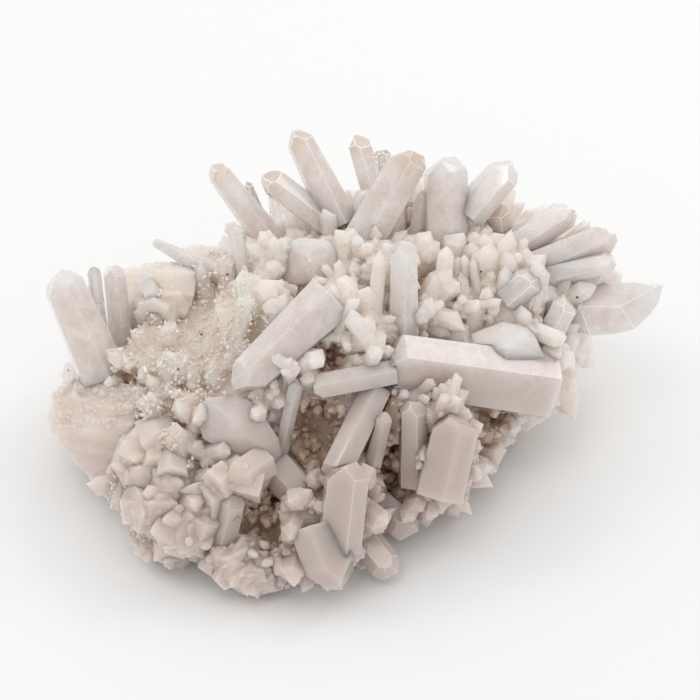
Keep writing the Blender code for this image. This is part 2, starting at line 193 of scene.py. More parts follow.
def fine_mesh(name, node, coarse, fine):
    """A CAD node's solid cut into small triangles, which are finest in the sugary zones."""
    form = bmesh.new()
    form.from_mesh(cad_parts[node].data)
    bmesh.ops.remove_doubles(form, verts=form.verts, dist=SAME_POINT)
    form.verts.index_update()
    points = [v.co.copy() for v in form.verts]
    faces = [tuple(v.index for v in f.verts) for f in form.faces]
    form.free()
    faces = split_long_edges(
        points, faces, lambda where: fine + (coarse - fine) * (1 - share_in(SUGARY, where)))
    mesh = bpy.data.meshes.new(name)
    mesh.from_pydata(points, [], faces)
    return mesh


BROAD_SHARE = 0.9
# How fast the fine swells get smaller and closer, and in how many steps
FINE_STEPS = (0.8, 2.0, 4)


def unevenness(where, broad, fine, fine_share):
    """How far a broken surface stands out at a point: broad swells with finer ones on them."""
    swells = noise.noise(where * broad) * BROAD_SHARE
    return swells + noise.fractal(where * fine, *FINE_STEPS) * fine_share


def search_tree(meshes):
    """A tree over several meshes, for rays and nearest points."""
    points, faces = [], []
    for mesh in meshes:
        start = len(points)
        points += [v.co.copy() for v in mesh.vertices]
        faces += [[start + i for i in p.vertices] for p in mesh.polygons]
    return BVHTree.FromPolygons(points, faces)


# The lump's broken surface: the size of its triangles where it is plain and where it is sugary, its
# height, and its swells and pits to the metre. It is left flat at the table, where it broke off.
LUMP_TRIANGLES = (4.4 * MM, 1.5 * MM)
BREAK_HEIGHT = 0.55 * MM
BREAK_SWELLS = (140, 420, 0.6)
PITS = 620
PITS_APART = Vector((7, 3, 1))
PITS_START = 0.25
PITS_DEPTH = -1.2
FLAT_UNDER = 0.4 * MM
FLAT_FADE = 3 * MM
lump_mesh = fine_mesh("massive_quartz", "matrix", *LUMP_TRIANGLES)
broken_points = []
for vert in lump_mesh.vertices:
    keep = min(1.0, max(0.0, (vert.co.z - FLAT_UNDER) / FLAT_FADE))
    swell = unevenness(vert.co, *BREAK_SWELLS)
    pits = max(0.0, noise.noise(vert.co * PITS + PITS_APART) - PITS_START) * PITS_DEPTH
    broken_points.append(vert.co + vert.normal * (swell + pits) * BREAK_HEIGHT * keep)
for vert, where in zip(lump_mesh.vertices, broken_points):
    vert.co = where
lump = put_in_scene("massive_quartz", lump_mesh)


def seeds_on(mesh, how_many, dice):
    """Places and normals spread evenly over a mesh's surface."""
    mesh.calc_loop_triangles()
    corners = np.zeros(len(mesh.loop_triangles) * 3, dtype=np.int32)
    mesh.loop_triangles.foreach_get("vertices", corners)
    corners = corners.reshape(-1, 3)
    points = np.zeros(len(mesh.vertices) * 3)
    mesh.vertices.foreach_get("co", points)
    points = points.reshape(-1, 3)
    a, b, c = points[corners[:, 0]], points[corners[:, 1]], points[corners[:, 2]]
    facing = np.cross(b - a, c - a)
    area = np.linalg.norm(facing, axis=1)
    chosen = dice.choice(len(area), how_many, p=area / area.sum())
    u, v = dice.random(how_many), dice.random(how_many)
    over = u + v > 1
    u[over], v[over] = 1 - u[over], 1 - v[over]
    places = a[chosen] + (b - a)[chosen] * u[:, None] + (c - a)[chosen] * v[:, None]
    return places, facing[chosen] / area[chosen][:, None]


# The form of a small crystal. A pair is the least value, and how much more it may be.
POINT_HEIGHT = (0.3, 0.3)
POINT_MOST = 0.5
FLATTENED = (0.68, 0.32)
CORNER_REACH = (0.86, 0.28)
SHOULDER_DROP = (0.75, 0.5)
SHOULDER_TAPER = 0.95
POINT_OFF_AXIS = 0.45


def at_least(pair, dice):
    """A random value from the pair's first to both together."""
    return pair[0] + pair[1] * dice.random()


def pointed_prism(foot, axis, width, length, dice):
    """Corners of one six-sided crystal with a pointed end: six at the foot, six at the shoulder,
    and the point."""
    side = axis.orthogonal().normalized()
    side = Matrix.Rotation(dice.random() * math.tau, 3, axis) @ side
    third = axis.cross(side)
    tip_height = min(width * at_least(POINT_HEIGHT, dice), length * POINT_MOST)
    squash = at_least(FLATTENED, dice)
    ring = []
    for k in range(6):
        turn = math.tau * (k + 0.5) / 6
        reach = width / 2 * at_least(CORNER_REACH, dice)
        ring.append(side * math.cos(turn) * reach + third * math.sin(turn) * reach * squash)
    lean = (side * (dice.random() - 0.5) + third * (dice.random() - 0.5)) * width * POINT_OFF_AXIS
    points = [foot + corner for corner in ring]
    for corner in ring:
        level = length - tip_height * at_least(SHOULDER_DROP, dice)
        points.append(foot + axis * level + corner * SHOULDER_TAPER)
    points.append(foot + axis * length + lean)
    return points


def add_prism(points, faces, corners):
    """Adds a pointed prism's corners and its 19 faces to the lists."""
    start = len(points)
    points += corners
    for k in range(6):
        n = (k + 1) % 6
        faces.append((start + k, start + n, start + 6 + n))
        faces.append((start + k, start + 6 + n, start + 6 + k))
        faces.append((start + 6 + k, start + 6 + n, start + 12))
    faces.append(tuple(start + k for k in range(5, -1, -1)))


# Kinds of small crystal, and which of the lump's finishes the facets of each take in turn. Each
# kind has its own tone; the change from facet to facet, lighter and darker, is painted refraction
# and reflection.
PLAIN, BRIGHT, PINKISH, BROWN, SUGAR = 1, 2, 3, 4, 5
FINISHES = 5
FACETS = {
    PLAIN: (1, 2, 1, 3, 2, 1, 2, 3), BRIGHT: (2, 2, 1, 2, 2, 1, 2, 2),
    PINKISH: (3, 3, 1, 3, 1, 3, 3, 2), BROWN: (4, 4, 4, 4, 3, 4, 4, 4),
}
# Where small crystals may grow: how far inside a recess the brown ones start, how far outside a
# sugary zone its grains may lie, how wide other crystals on it may be and how seldom wider, how
# they lean and how flat they may lie, and how clear they stay of the table and the large crystals.
RECESS_EDGE = 0.3
SUGAR_OUTSIDE = 0.7
WIDEST_ON_SUGAR = 1.9 * MM
WIDER_ON_SUGAR = (0.2, 0.9)
FEWER_WIDE = 1.5
AWAY_FROM_MIDDLE = 0.7
FLATTEST = 0.35
POINT_OVER_TABLE = 1.2 * MM
FOOT_OVER_TABLE = 3 * MM
CORNERS_OVER_TABLE = 0.3 * MM
FARTHEST_ACROSS = 91.5 * MM
GAP_AT_POINT = 0.3 * MM
JUST_OVER_FOOT = 0.1
GAP_AT_FOOT = 0.8 * MM
HALF_AND_MORE = 0.62


def druse_crystals(mesh, others, seed, how_many, widths, slender, sunk, wander, kind):
    """Small crystals spread over a mesh, clear of the others, as (middle, reach, corners, kind).
    Widths are in mm, slender is length to width, and sunk is the part in the ground to width."""
    dice = np.random.default_rng(seed)
    places, normals = seeds_on(mesh, how_many, dice)
    grown = []
    for k in range(how_many):
        foot = Vector(places[k])
        normal = Vector(normals[k])
        if (kind == BROWN) != (share_in(RECESSES, foot) > RECESS_EDGE):
            continue
        if kind == SUGAR and share_in(SUGARY, foot) < SUGAR_OUTSIDE * dice.random():
            continue
        width = (widths[0] + (widths[1] - widths[0]) * dice.random() ** FEWER_WIDE) * MM
        if kind in (PLAIN, BROWN) and width > WIDEST_ON_SUGAR:
            if share_in(SUGARY, foot) > at_least(WIDER_ON_SUGAR, dice):
                continue
        length = width * (slender[0] + (slender[1] - slender[0]) * dice.random())
        tilt = Vector((dice.normal(), dice.normal(), dice.normal())) * wander
        away = (foot - LUMP_MIDDLE).normalized()
        axis = (normal + away * AWAY_FROM_MIDDLE + tilt).normalized()
        if axis.dot(normal) < FLATTEST or foot.z + axis.z * length < POINT_OVER_TABLE:
            continue
        tip = foot + axis * length
        if foot.z < FOOT_OVER_TABLE or abs(tip.x) > FARTHEST_ACROSS:
            continue
        near, out, _, gap = others.find_nearest(tip)
        if gap < GAP_AT_POINT or (tip - near).dot(out) < 0:
            continue
        if others.ray_cast(foot + normal * JUST_OVER_FOOT * MM, normal, GAP_AT_FOOT)[0] is not None:
            continue
        foot -= axis * width * sunk
        length += width * sunk
        corners = pointed_prism(foot, axis, width, length, dice)
        if min(c.z for c in corners) < CORNERS_OVER_TABLE:
            continue
        reach = max(length, width) * HALF_AND_MORE
        grown.append((foot + axis * length / 2, reach, corners, kind))
    return grown


# Middling crystals of the display side: root and point in mm across and up it, width, how far
# the point stands out, and the kind: 1 plain, 2 bright, 3 pinkish.
MIDDLING = [
    ((-5.2, 11.4), (-7, 20.4), 10.2, 7, 3),
    ((5.6, 8.4), (8.3, 32.4), 6.6, 4, 1),
    ((26, 17.4), (27.8, 34.2), 7.2, 4, 1),
    ((54.5, 17.4), (56.3, 29.4), 7.8, 4, 1),
    ((62, 17.4), (64.1, 27.6), 6.6, 4, 3),
    ((-25, 7.2), (-21.1, 20.4), 8.1, 4, 3),
    ((-34, 8.4), (-30.7, 19.2), 6, 4, 1),
    ((-50.5, -33), (-52.6, -18), 8.4, 5, 1),
    ((-58, -21.6), (-61.3, -9.6), 7.2, 5, 1),
    ((-46, -10.8), (-48.4, -1.2), 6, 3, 3),
    ((66.5, 3.6), (69.8, 15), 6, 4, 1),
    ((57.5, -5.4), (62.3, 3), 5.4, 4, 1),
    ((14, 36.6), (11.6, 48), 6, 4, 3),
    ((44, 18), (46.4, 27.6), 6.6, 4, 1),
    ((-41.5, 4.5), (-38.8, 14.4), 6, 3, 3),
    ((-19, 29.4), (-20.8, 37.2), 6, 4, 1),
    ((-2.5, 30.6), (-0.4, 39.6), 6, 4, 1),
    ((38, 40.5), (41.6, 51), 6, 5, 1),
    ((-53.5, -6), (-56.2, 2.4), 6.6, 3, 1),
    ((35, 9), (37.4, 18), 6, 4, 1),
    ((-27.4, -12.6), (-28.6, -5.4), 4.8, 4, 3),
    ((35, 35.4), (35.6, 43.8), 5.4, 6, 3),
    ((18.5, 34.5), (21.2, 51), 5.7, 5, 1),
    ((29, 27.6), (31.4, 38.4), 7.8, 5, 1),
    ((47.6, 24.6), (45.8, 32.4), 7.2, 5, 1),
    ((50.6, 21.6), (38.6, 22.5), 3.6, 3, 2),
    ((26, 6.6), (30.8, 13.2), 4.2, 4, 2),
    ((32, 15.6), (44, 17.4), 2.7, 3, 1),
    ((30.5, 12.6), (41.6, 12.9), 2.4, 3, 3),
    ((23.6, 8.4), (23, 17.1), 4.8, 4, 3),
    ((-0.4, 12.6), (-8.8, 21), 7.2, 8, 1),
    ((-4, 9), (0.8, 18.6), 5.4, 4, 1),
    ((3.5, 18), (-0.4, 29.4), 5.4, 4, 1),
    ((6.8, 9), (4.4, 19.2), 4.5, 4, 3),
    ((57.5, 29.4), (71.6, 42), 4.5, 5, 1),
    ((53.6, 33), (66.5, 45.6), 5.1, 5, 1),
    ((62, 28.8), (74.6, 36.6), 3.6, 5, 3),
    ((58.4, -14.4), (59.9, -4.8), 6.6, 5, 3),
    ((63.8, -0.6), (66.5, 9.6), 6, 5, 1),
    ((47.6, -15.6), (48.8, -21.9), 3.9, 3, 3),
    ((-1, 39), (5.6, 52.2), 6.6, 4, 1),
    ((-7, 36), (-8.2, 45.6), 5.4, 4, 1),
    ((-16, 37.5), (-17.2, 46.5), 4.8, 4, 3),
    ((-27.4, 29.4), (-25.6, 38.4), 6, 4, 1),
    ((-37.6, 22.5), (-39.4, 31.2), 6.6, 4, 1),
    ((-53.2, 20.4), (-55, 29.4), 7.8, 4, 1),
    ((-44.5, 21), (-46.9, 28.8), 6.6, 4, 1),
    ((-10.6, 4.5), (-12.1, 18), 5.1, 3, 1),
    ((5, 4.5), (2.6, 12.6), 4.8, 4, 2),
    ((-27.4, 15), (-29.2, 22.5), 4.2, 4, 3),
    ((40.4, 29.4), (39.2, 38.4), 6, 5, 1),
    ((51.5, 9), (50, 16.2), 5.4, 4, 1),
    ((57.5, 13.5), (59.6, 21), 4.8, 4, 3),
    ((12.5, 38.4), (13.4, 49.2), 5.4, 4, 1),
    ((33.8, 22.2), (32.9, 31.2), 2.7, 5, 2),
    ((36.8, 21), (35.3, 30), 2.7, 4, 2),
    ((29.9, 21.9), (31.4, 30.6), 2.7, 5, 2),
]
# How deep their roots go along them and into the display side, in widths, and a height in mm over
# the display side that is clear of every crystal
ROOT_DEPTH = 0.7
ROOT_SET_BACK = 0.25
CLEAR_OF_ALL = 120
MIDDLING_SEED = 21


def placed_crystals(tree):
    """The middling crystals, standing on the lump's surface."""
    dice = np.random.default_rng(MIDDLING_SEED)
    grown = []
    for root, point, width, rise, kind in MIDDLING:
        foot = tree.ray_cast(display_point(*root, CLEAR_OF_ALL), -OUTWARD)[0]
        if foot is None:
            continue
        out = (foot - MIDDLE).dot(OUTWARD) / MM
        tip = display_point(*point, out + rise)
        axis = (tip - foot).normalized()
        foot -= axis * width * ROOT_DEPTH * MM + OUTWARD * width * ROOT_SET_BACK * MM
        length = (tip - foot).length
        corners = pointed_prism(foot, (tip - foot).normalized(), width * MM, length, dice)
        if min(c.z for c in corners) > CORNERS_OVER_TABLE:
            grown.append(((foot + tip) / 2, length * HALF_AND_MORE, corners, kind))
    return grown


# From one crystal to the next and from one facet to the next, the finish moves on by these, which
# spreads the painted refraction and reflection over the facets
CRYSTAL_MOVES_ON = 5
FACET_MOVES_ON = 7
FACES_TO_A_FACET = 3


def empty_slots(mesh):
    """Room for the lump's finishes, so that each facet keeps its own as crystals are joined."""
    for _ in range(FINISHES):
        mesh.materials.append(None)


def fuse(body, grown):
    """Grows the crystals together with a body, in rounds of crystals that don't meet."""
    middles = KDTree(len(grown))
    for k, (middle, _, _, _) in enumerate(grown):
        middles.insert(middle, k)
    middles.balance()
    widest = max(reach for _, reach, _, _ in grown)
    round_of = [0] * len(grown)
    for k, (middle, reach, _, _) in enumerate(grown):
        taken = {round_of[n] for _, n, gap in middles.find_range(middle, reach + widest)
                 if n < k and gap < reach + grown[n][1]}
        while round_of[k] in taken:
            round_of[k] += 1
    for which in range(max(round_of) + 1):
        points, faces, shades = [], [], []
        for k, (_, _, corners, kind) in enumerate(grown):
            if round_of[k] == which:
                add_prism(points, faces, corners)
                while len(shades) < len(faces):
                    facet = len(shades) // FACES_TO_A_FACET
                    turn = k * CRYSTAL_MOVES_ON + facet * FACET_MOVES_ON
                    shades.append(FACETS[kind][turn % len(FACETS[kind])])
        mesh = bpy.data.meshes.new("round")
        mesh.from_pydata(points, [], faces)
        empty_slots(mesh)
        mesh.polygons.foreach_set("material_index", shades)
        tool = put_in_scene("round", mesh)
        join = body.modifiers.new("join", "BOOLEAN")
        join.operation = "UNION"
        join.solver = "MANIFOLD"
        join.object = tool
        view = bpy.context.evaluated_depsgraph_get()
        joined = bpy.data.meshes.new_from_object(body.evaluated_get(view))
        body.modifiers.clear()
        body.data = joined
        bpy.data.objects.remove(tool)


crystal_names = sorted(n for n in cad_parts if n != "matrix")
crystal_meshes = [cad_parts[name].data for name in crystal_names]
crystal_tree = search_tree(crystal_meshes)
empty_slots(lump_mesh)
small = placed_crystals(search_tree([lump_mesh]))
small += druse_crystals(
    lump_mesh, crystal_tree, seed=11, how_many=2000, widths=(4.2, 9.0), slender=(0.4, 1.7),
    sunk=1.0, wander=0.4, kind=PLAIN)
small += druse_crystals(
    lump_mesh, crystal_tree, seed=12, how_many=2900, widths=(2.3, 4.8), slender=(0.5, 1.8),
    sunk=0.9, wander=0.5, kind=PLAIN)
small += druse_crystals(
    lump_mesh, crystal_tree, seed=13, how_many=9000, widths=(1.6, 4.2), slender=(0.3, 1.1),
    sunk=0.8, wander=0.5, kind=BROWN)
fuse(lump, small)
lump_mesh = lump.data
lump_mesh.name = "massive_quartz"

# Rust gathers in well hidden places, painted light brightens the places that are a little hidden,
# and painted shade darkens and browns the quartz low on the display side. How hidden a point is
# comes from rays sent out all round it, as far as the gaps between crystals are wide.
HOW_MANY_RAYS = 10
RAYS_LEFT_OUT = 2.5
GOLDEN_TURN = 2.399963
RAY_START = 0.6 * MM
RAY_LENGTH = 16 * MM
HIDDEN_BY_RAYS = 0.6
HIDDEN_BY_RECESS = 0.6
# Painted shade: where it starts down the display side, how far down it deepens, and how much more
# the shaded part gets
LOW_FROM = 6
LOW_RANGE = 52
LOW_IN_SHADED_PART = 0.5
rays = []
for k in range(HOW_MANY_RAYS):
    height = (k + RAYS_LEFT_OUT) / (HOW_MANY_RAYS + RAYS_LEFT_OUT)
    turn = k * GOLDEN_TURN
    flat = math.sqrt(1 - height * height)
    rays.append(Vector((math.cos(turn) * flat, math.sin(turn) * flat, height)))
whole_tree = search_tree([lump_mesh] + crystal_meshes)


def shelter(where, normal):
    """Share of the half-room over a surface point that nearby quartz hides, 0 to 1."""
    turn = Vector((0, 0, 1)).rotation_difference(normal)
    start = where + normal * RAY_START
    hidden = 0
    for ray in rays:
        if whole_tree.ray_cast(start, turn @ ray, RAY_LENGTH)[0] is not None:
            hidden += 1
    return hidden / len(rays)


def lowness(where):
    """How far down the display side a point lies, 0 to 1: the share of painted shade, darker and
    browner, that the quartz gets there.
    """
    up = (where - MIDDLE).dot(UPWARD) / MM
    share = min(1.0, max(0.0, (LOW_FROM - up) / LOW_RANGE))
    smooth = share * share * (3 - 2 * share)
    return min(1.0, smooth + LOW_IN_SHADED_PART * share_in(SHADED_PART, where))


def mark(mesh, label, values):
    """Keeps one value for each point of the mesh, for its finish to read."""
    mesh.attributes.new(label, "FLOAT", "POINT").data.foreach_set("value", values)


def mark_rust_light_and_shade(mesh, recesses):
    """Marks how hidden and how low each point of a mesh is."""
    mark(mesh, "hidden", [
        shelter(v.co, v.normal) * HIDDEN_BY_RAYS + share_in(recesses, v.co) * HIDDEN_BY_RECESS
        for v in mesh.vertices])
    mark(mesh, "low", [lowness(v.co) for v in mesh.vertices])


mark_rust_light_and_shade(lump_mesh, RECESSES)


def new_group(name, takes, gives):
    """An empty shader group with its input and output sockets, and its two end nodes."""
    group = bpy.data.node_groups.new(name, "ShaderNodeTree")
    for label, kind in takes:
        group.interface.new_socket(label, in_out="INPUT", socket_type=kind)
    for label, kind in gives:
        group.interface.new_socket(label, in_out="OUTPUT", socket_type=kind)
    return group, group.nodes.new("NodeGroupInput"), group.nodes.new("NodeGroupOutput")


def feed(tree, socket, source):
    """Links a socket to what feeds it, or sets it to a value."""
    if hasattr(source, "is_linked"):
        tree.links.new(source, socket)
    else:
        socket.default_value = source


def add(tree, kind, feeds=(), **settings):
    """A new node with its settings, and feeds as (input, what feeds it)."""
    node = tree.nodes.new(kind)
    for key, value in settings.items():
        setattr(node, key, value)
    for socket, source in feeds:
        feed(tree, node.inputs[socket], source)
    return node


def span(tree, value, low, high, out_low=0.0, out_high=1.0):
    """value moved smoothly from the range low..high to out_low..out_high."""
    return add(tree, "ShaderNodeMapRange", [
        ("Value", value), ("From Min", low), ("From Max", high),
        ("To Min", out_low), ("To Max", out_high),
    ], interpolation_type="SMOOTHSTEP").outputs["Result"]


def mix_colour(tree, share, one, other):
    """A colour mixed from one to other."""
    node = add(tree, "ShaderNodeMix", data_type="RGBA")
    for index, source in ((0, share), (6, one), (7, other)):
        feed(tree, node.inputs[index], source)
    return node.outputs[2]


def reckon(tree, how, one, other):
    """One sum, product or the like of two values."""
    return add(tree, "ShaderNodeMath", [(0, one), (1, other)], operation=how).outputs[0]


# Painted shade, which darkens and browns all the quartz towards the foot of the display side,
# where its lower faces lie in shade
FLOAT, COLOUR, VECTOR = "NodeSocketFloat", "NodeSocketColor", "NodeSocketVector"
LOW_SHADE_BROWN = (0.66, 0.555, 0.50, 1)
painted_low_shade, takes, gives = new_group(
    "painted_low_shade", [("Colour", COLOUR), ("Shade", COLOUR)], [("Colour", COLOUR)])
low = add(painted_low_shade, "ShaderNodeAttribute", attribute_name="low").outputs["Fac"]
feed(painted_low_shade, gives.inputs["Colour"], mix_colour(
    painted_low_shade, low, takes.outputs["Colour"], takes.outputs["Shade"]))

# Quartz that grew as a mass: blotches of two tones, fine grain, painted light that brightens it
# where it is a little hidden, and rust where it is well hidden
PAINTED_GAP_LIGHT = (1.0, 0.88, 0.80, 1)
quartz_grain, takes, gives = new_group(
    "quartz_grain", [("Dark", COLOUR), ("Light", COLOUR), ("Coarseness", FLOAT)],
    [("Colour", COLOUR), ("Rust", FLOAT), ("Grain", FLOAT), ("Height", FLOAT)])
where = add(quartz_grain, "ShaderNodeTexCoord").outputs["Object"]
hidden = add(quartz_grain, "ShaderNodeAttribute", attribute_name="hidden").outputs["Fac"]
blotch = add(quartz_grain, "ShaderNodeTexNoise", [
    ("Vector", where), ("Scale", 90.0), ("Detail", 5.0), ("Roughness", 0.6)]).outputs["Fac"]
grain = add(quartz_grain, "ShaderNodeTexVoronoi", [
    ("Vector", where), ("Scale", 900.0)]).outputs["Distance"]
tone = mix_colour(quartz_grain, span(quartz_grain, blotch, 0.35, 0.65),
                  takes.outputs["Dark"], takes.outputs["Light"])
# Painted light: a lighter, warmer colour where the quartz is a little hidden
feed(quartz_grain, gives.inputs["Colour"], mix_colour(
    quartz_grain, span(quartz_grain, hidden, 0.12, 0.5, 0.0, 0.85), tone, PAINTED_GAP_LIGHT))
feed(quartz_grain, gives.inputs["Rust"], span(
    quartz_grain, reckon(quartz_grain, "ADD", hidden,
                         reckon(quartz_grain, "MULTIPLY", blotch, 0.4)), 0.85, 1.3, 0.0, 0.92))
feed(quartz_grain, gives.inputs["Grain"], grain)
feed(quartz_grain, gives.inputs["Height"], reckon(
    quartz_grain, "ADD",
    reckon(quartz_grain, "MULTIPLY", grain, takes.outputs["Coarseness"]), blotch))

# The finish of massed quartz. A bump is its strength and its depth in metres.
QUARTZ_IOR = 1.544
RUST = (0.45, 0.30, 0.21, 1)
MASS_COAT = 0.6
MASS_BUMP = (0.5, 0.0004)


def quartz(name, glow, coat, coat_roughness):
    """A new material of quartz, with its shader: light spreads in it as far as glow, in metres."""
    made = bpy.data.materials.new(name)
    made.use_nodes = True
    surface = made.node_tree.nodes["Principled BSDF"]
    surface.inputs["IOR"].default_value = QUARTZ_IOR
    surface.inputs["Subsurface Weight"].default_value = 1.0
    surface.inputs["Subsurface Radius"].default_value = (1.0, 1.0, 1.0)
    surface.inputs["Subsurface Scale"].default_value = glow
    surface.inputs["Coat Weight"].default_value = coat
    surface.inputs["Coat Roughness"].default_value = coat_roughness
    return made, made.node_tree, surface


def finish_surface(tree, surface, colour, rough, height, bump):
    """Feeds a quartz shader its colour, roughness and relief. bump is its strength and depth."""
    feed(tree, surface.inputs["Base Color"], colour)
    feed(tree, surface.inputs["Roughness"], rough)
    relief = add(tree, "ShaderNodeBump", [
        ("Height", height), ("Strength", bump[0]), ("Distance", bump[1])])
    feed(tree, surface.inputs["Normal"], relief.outputs["Normal"])


def mass_finish(name, dark, light, rough, coarseness, glow):
    """Quartz that grew as a mass: milky, rust brown where it is well hidden, brightened with painted
    light where it is a little hidden, and darkened and browned with painted shade where it is low.
    """
    made, tree, surface = quartz(name, glow, MASS_COAT, rough[0])
    mass = add(tree, "ShaderNodeGroup", [
        ("Dark", dark), ("Light", light), ("Coarseness", coarseness)], node_tree=quartz_grain)
    # Painted shade, darker and browner, low on the display side
    low_shaded = add(tree, "ShaderNodeGroup", [
        ("Colour", mass.outputs["Colour"]), ("Shade", LOW_SHADE_BROWN)], node_tree=painted_low_shade)
    colour = mix_colour(tree, mass.outputs["Rust"], low_shaded.outputs["Colour"], RUST)
    roughness = span(tree, mass.outputs["Grain"], 0.0, 0.8, rough[0], rough[1])
    finish_surface(tree, surface, colour, roughness, mass.outputs["Height"], MASS_BUMP)
    return made


# Each with its dark and light tone, its range of roughness, how coarse its grain is, and its glow
mass_finishes = [mass_finish(*kind) for kind in (
    ("massive_quartz", (0.86, 0.75, 0.665, 1), (0.93, 0.84, 0.77, 1), (0.3, 0.6), 1.0, 0.010),
    ("druse_quartz", (0.88, 0.77, 0.70, 1), (0.93, 0.84, 0.785, 1), (0.05, 0.15), 0.0, 0.010),
    # druse_bright and druse_pinkish are a lighter and a darker, pinker copy of druse_quartz, which
    # the facets take in turn as painted refraction and reflection
    ("druse_bright", (0.91, 0.835, 0.785, 1), (0.96, 0.90, 0.86, 1), (0.04, 0.12), 0.0, 0.010),
    ("druse_pinkish", (0.80, 0.665, 0.58, 1), (0.87, 0.75, 0.67, 1), (0.04, 0.12), 0.0, 0.010),
    ("druse_brown", (0.58, 0.43, 0.335, 1), (0.82, 0.68, 0.58, 1), (0.05, 0.2), 0.0, 0.006),
)]


def dress(mesh, finishes):
    """Gives a mesh its finishes, in the order of its slots."""
    mesh.materials.clear()
    for finish in finishes:
        mesh.materials.append(finish)


dress(lump_mesh, mass_finishes)
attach(lump, "root")
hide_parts("matrix")

# Sugar: fine grains of clean quartz that cover the massive parts of the lump, each grown to it.
# They are single blunt crystals about a millimetre wide, and sparkle.
grain_points, grain_faces = [], []
for _, _, corners, _ in druse_crystals(
        lump_mesh, crystal_tree, seed=14, how_many=30000, widths=(0.7, 1.5), slender=(0.3, 1.2),
        sunk=0.6, wander=0.8, kind=SUGAR):
    add_prism(grain_points, grain_faces, corners)
grain_mesh = bpy.data.meshes.new("sugar_grains")
grain_mesh.from_pydata(grain_points, [], grain_faces)
sugar = put_in_scene("sugar_grains", grain_mesh)
dress(grain_mesh, [mass_finish(
    "sugar_quartz", (0.88, 0.765, 0.68, 1), (0.98, 0.90, 0.835, 1), (0.08, 0.3), 0.0, 0.0001)])
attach(sugar, "root")

# Dark specks: single grains of a black mineral, about a millimetre across, mostly near the left
# end. Each is caught in the quartz, with a little less than half of it below the surface.
SPECKS = [
    (-58.4, 15.4), (-51.8, -2.6), (-86.6, -3), (-45.4, 7.5), (-37.6, 25.5), (67.1, 18.9), (38, 26.4),
]
SPECK_WIDTH = (0.8, 0.5)
SPECK_LENGTH = 0.9 * MM
SPECK_SUNK = 0.4
SPECK_SEED = 31
dice = np.random.default_rng(SPECK_SEED)
speck_points, speck_faces = [], []
for across, up in SPECKS:
    foot, normal, _, _ = whole_tree.ray_cast(display_point(across, up, CLEAR_OF_ALL), -OUTWARD)
    width = at_least(SPECK_WIDTH, dice) * MM
    add_prism(speck_points, speck_faces, pointed_prism(
        foot - normal * SPECK_SUNK * MM, normal, width, SPECK_LENGTH, dice))
speck_mesh = bpy.data.meshes.new("dark_specks")
speck_mesh.from_pydata(speck_points, [], speck_faces)
specks = put_in_scene("dark_specks", speck_mesh)
dress(speck_mesh, [mass_finish(
    "dark_mineral", (0.02, 0.016, 0.012, 1), (0.07, 0.05, 0.035, 1), (0.25, 0.6), 1.0, 0.0001)])
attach(specks, "root")

# Broken crystals at the left end, which have lost their faces: lumps with a broken surface and
# shards of other crystals grown over them. The wedge has shards along its top only, as sugar, and
# grooves below, where it was torn from its neighbour.
FIRST_SEED = 40
SEEDS_APART = 10
SHARD_SUNK = 0.9
SHARD_WANDER = 0.6
BROKEN_TRIANGLES = (1.6 * MM, 1.2 * MM)
SMOOTHINGS = 2
SMOOTHED = 0.5
BROKEN_HEIGHT = 0.5 * MM
BROKEN_SWELLS = (150, 400, 0.5)
BROKEN_FULLER = 0.3
GROOVE_DEPTH = 0.22 * MM
GROOVE_WIDTH = 0.75 * MM
GROOVE_SLANT = 160
EVERYWHERE = -99
# For each lot of shards: how many seeds, widths in mm, length to width, and the lowest place up the
# display side, in mm
BLOCK_SHARDS = (
    (45, (7.0, 14.0), (0.05, 0.5), EVERYWHERE), (35, (3.0, 6.0), (0.2, 1.0), EVERYWHERE),
)
WEDGE_SHARDS = ((900, (1.0, 2.2), (0.3, 1.2), -20), (60, (2.5, 5.0), (0.1, 0.7), -19))
BROKEN = {
    "left_wedge": WEDGE_SHARDS, "lower_left_block": BLOCK_SHARDS,
    "left_bottom_stub": BLOCK_SHARDS, "bottom_left_block": BLOCK_SHARDS,
    "bottom_left_crystal": BLOCK_SHARDS, "left_stub_crystal": BLOCK_SHARDS,
    "left_block_crystal": BLOCK_SHARDS, "lower_left_stub": BLOCK_SHARDS,
}


def break_surface(mesh, groove_depth):
    """Rounds a solid's edges off and roughens its faces, with grooves across them."""
    form = bmesh.new()
    form.from_mesh(mesh)
    for _ in range(SMOOTHINGS):
        bmesh.ops.smooth_vert(form, verts=form.verts, factor=SMOOTHED, use_axis_x=True,
                              use_axis_y=True, use_axis_z=True)
    form.normal_update()
    moved = []
    for vert in form.verts:
        where = vert.co
        swell = unevenness(where, *BROKEN_SWELLS)
        up = (where - MIDDLE).dot(UPWARD)
        grooves = groove_depth * math.sin(up / GROOVE_WIDTH + where.x * GROOVE_SLANT)
        moved.append(
            where + vert.normal * ((swell + BROKEN_FULLER) * BROKEN_HEIGHT + grooves))
    for vert, where in zip(form.verts, moved):
        vert.co = where
    form.to_mesh(mesh)
    form.free()


def broken_piece(node, seed, groove_depth, shards):
    """A lump in a CAD crystal's place, its surface broken and overgrown."""
    mesh = fine_mesh("broken_" + node, node, *BROKEN_TRIANGLES)
    break_surface(mesh, groove_depth)
    empty_slots(mesh)
    made = put_in_scene("broken_" + node, mesh)
    others = search_tree([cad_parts[name].data for name in crystal_names if name != node])
    grown = []
    for k, (how_many, widths, slender, lowest) in enumerate(shards):
        for one in druse_crystals(mesh, others, seed + k, how_many, widths, slender,
                                  SHARD_SUNK, SHARD_WANDER, BRIGHT):
            if (one[0] - MIDDLE).dot(UPWARD) > lowest * MM:
                grown.append(one)
    fuse(made, grown)
    made.data.name = "broken_" + node
    mark_rust_light_and_shade(made.data, ())
    dress(made.data, mass_finishes)
    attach(made, "root")
    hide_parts(node)


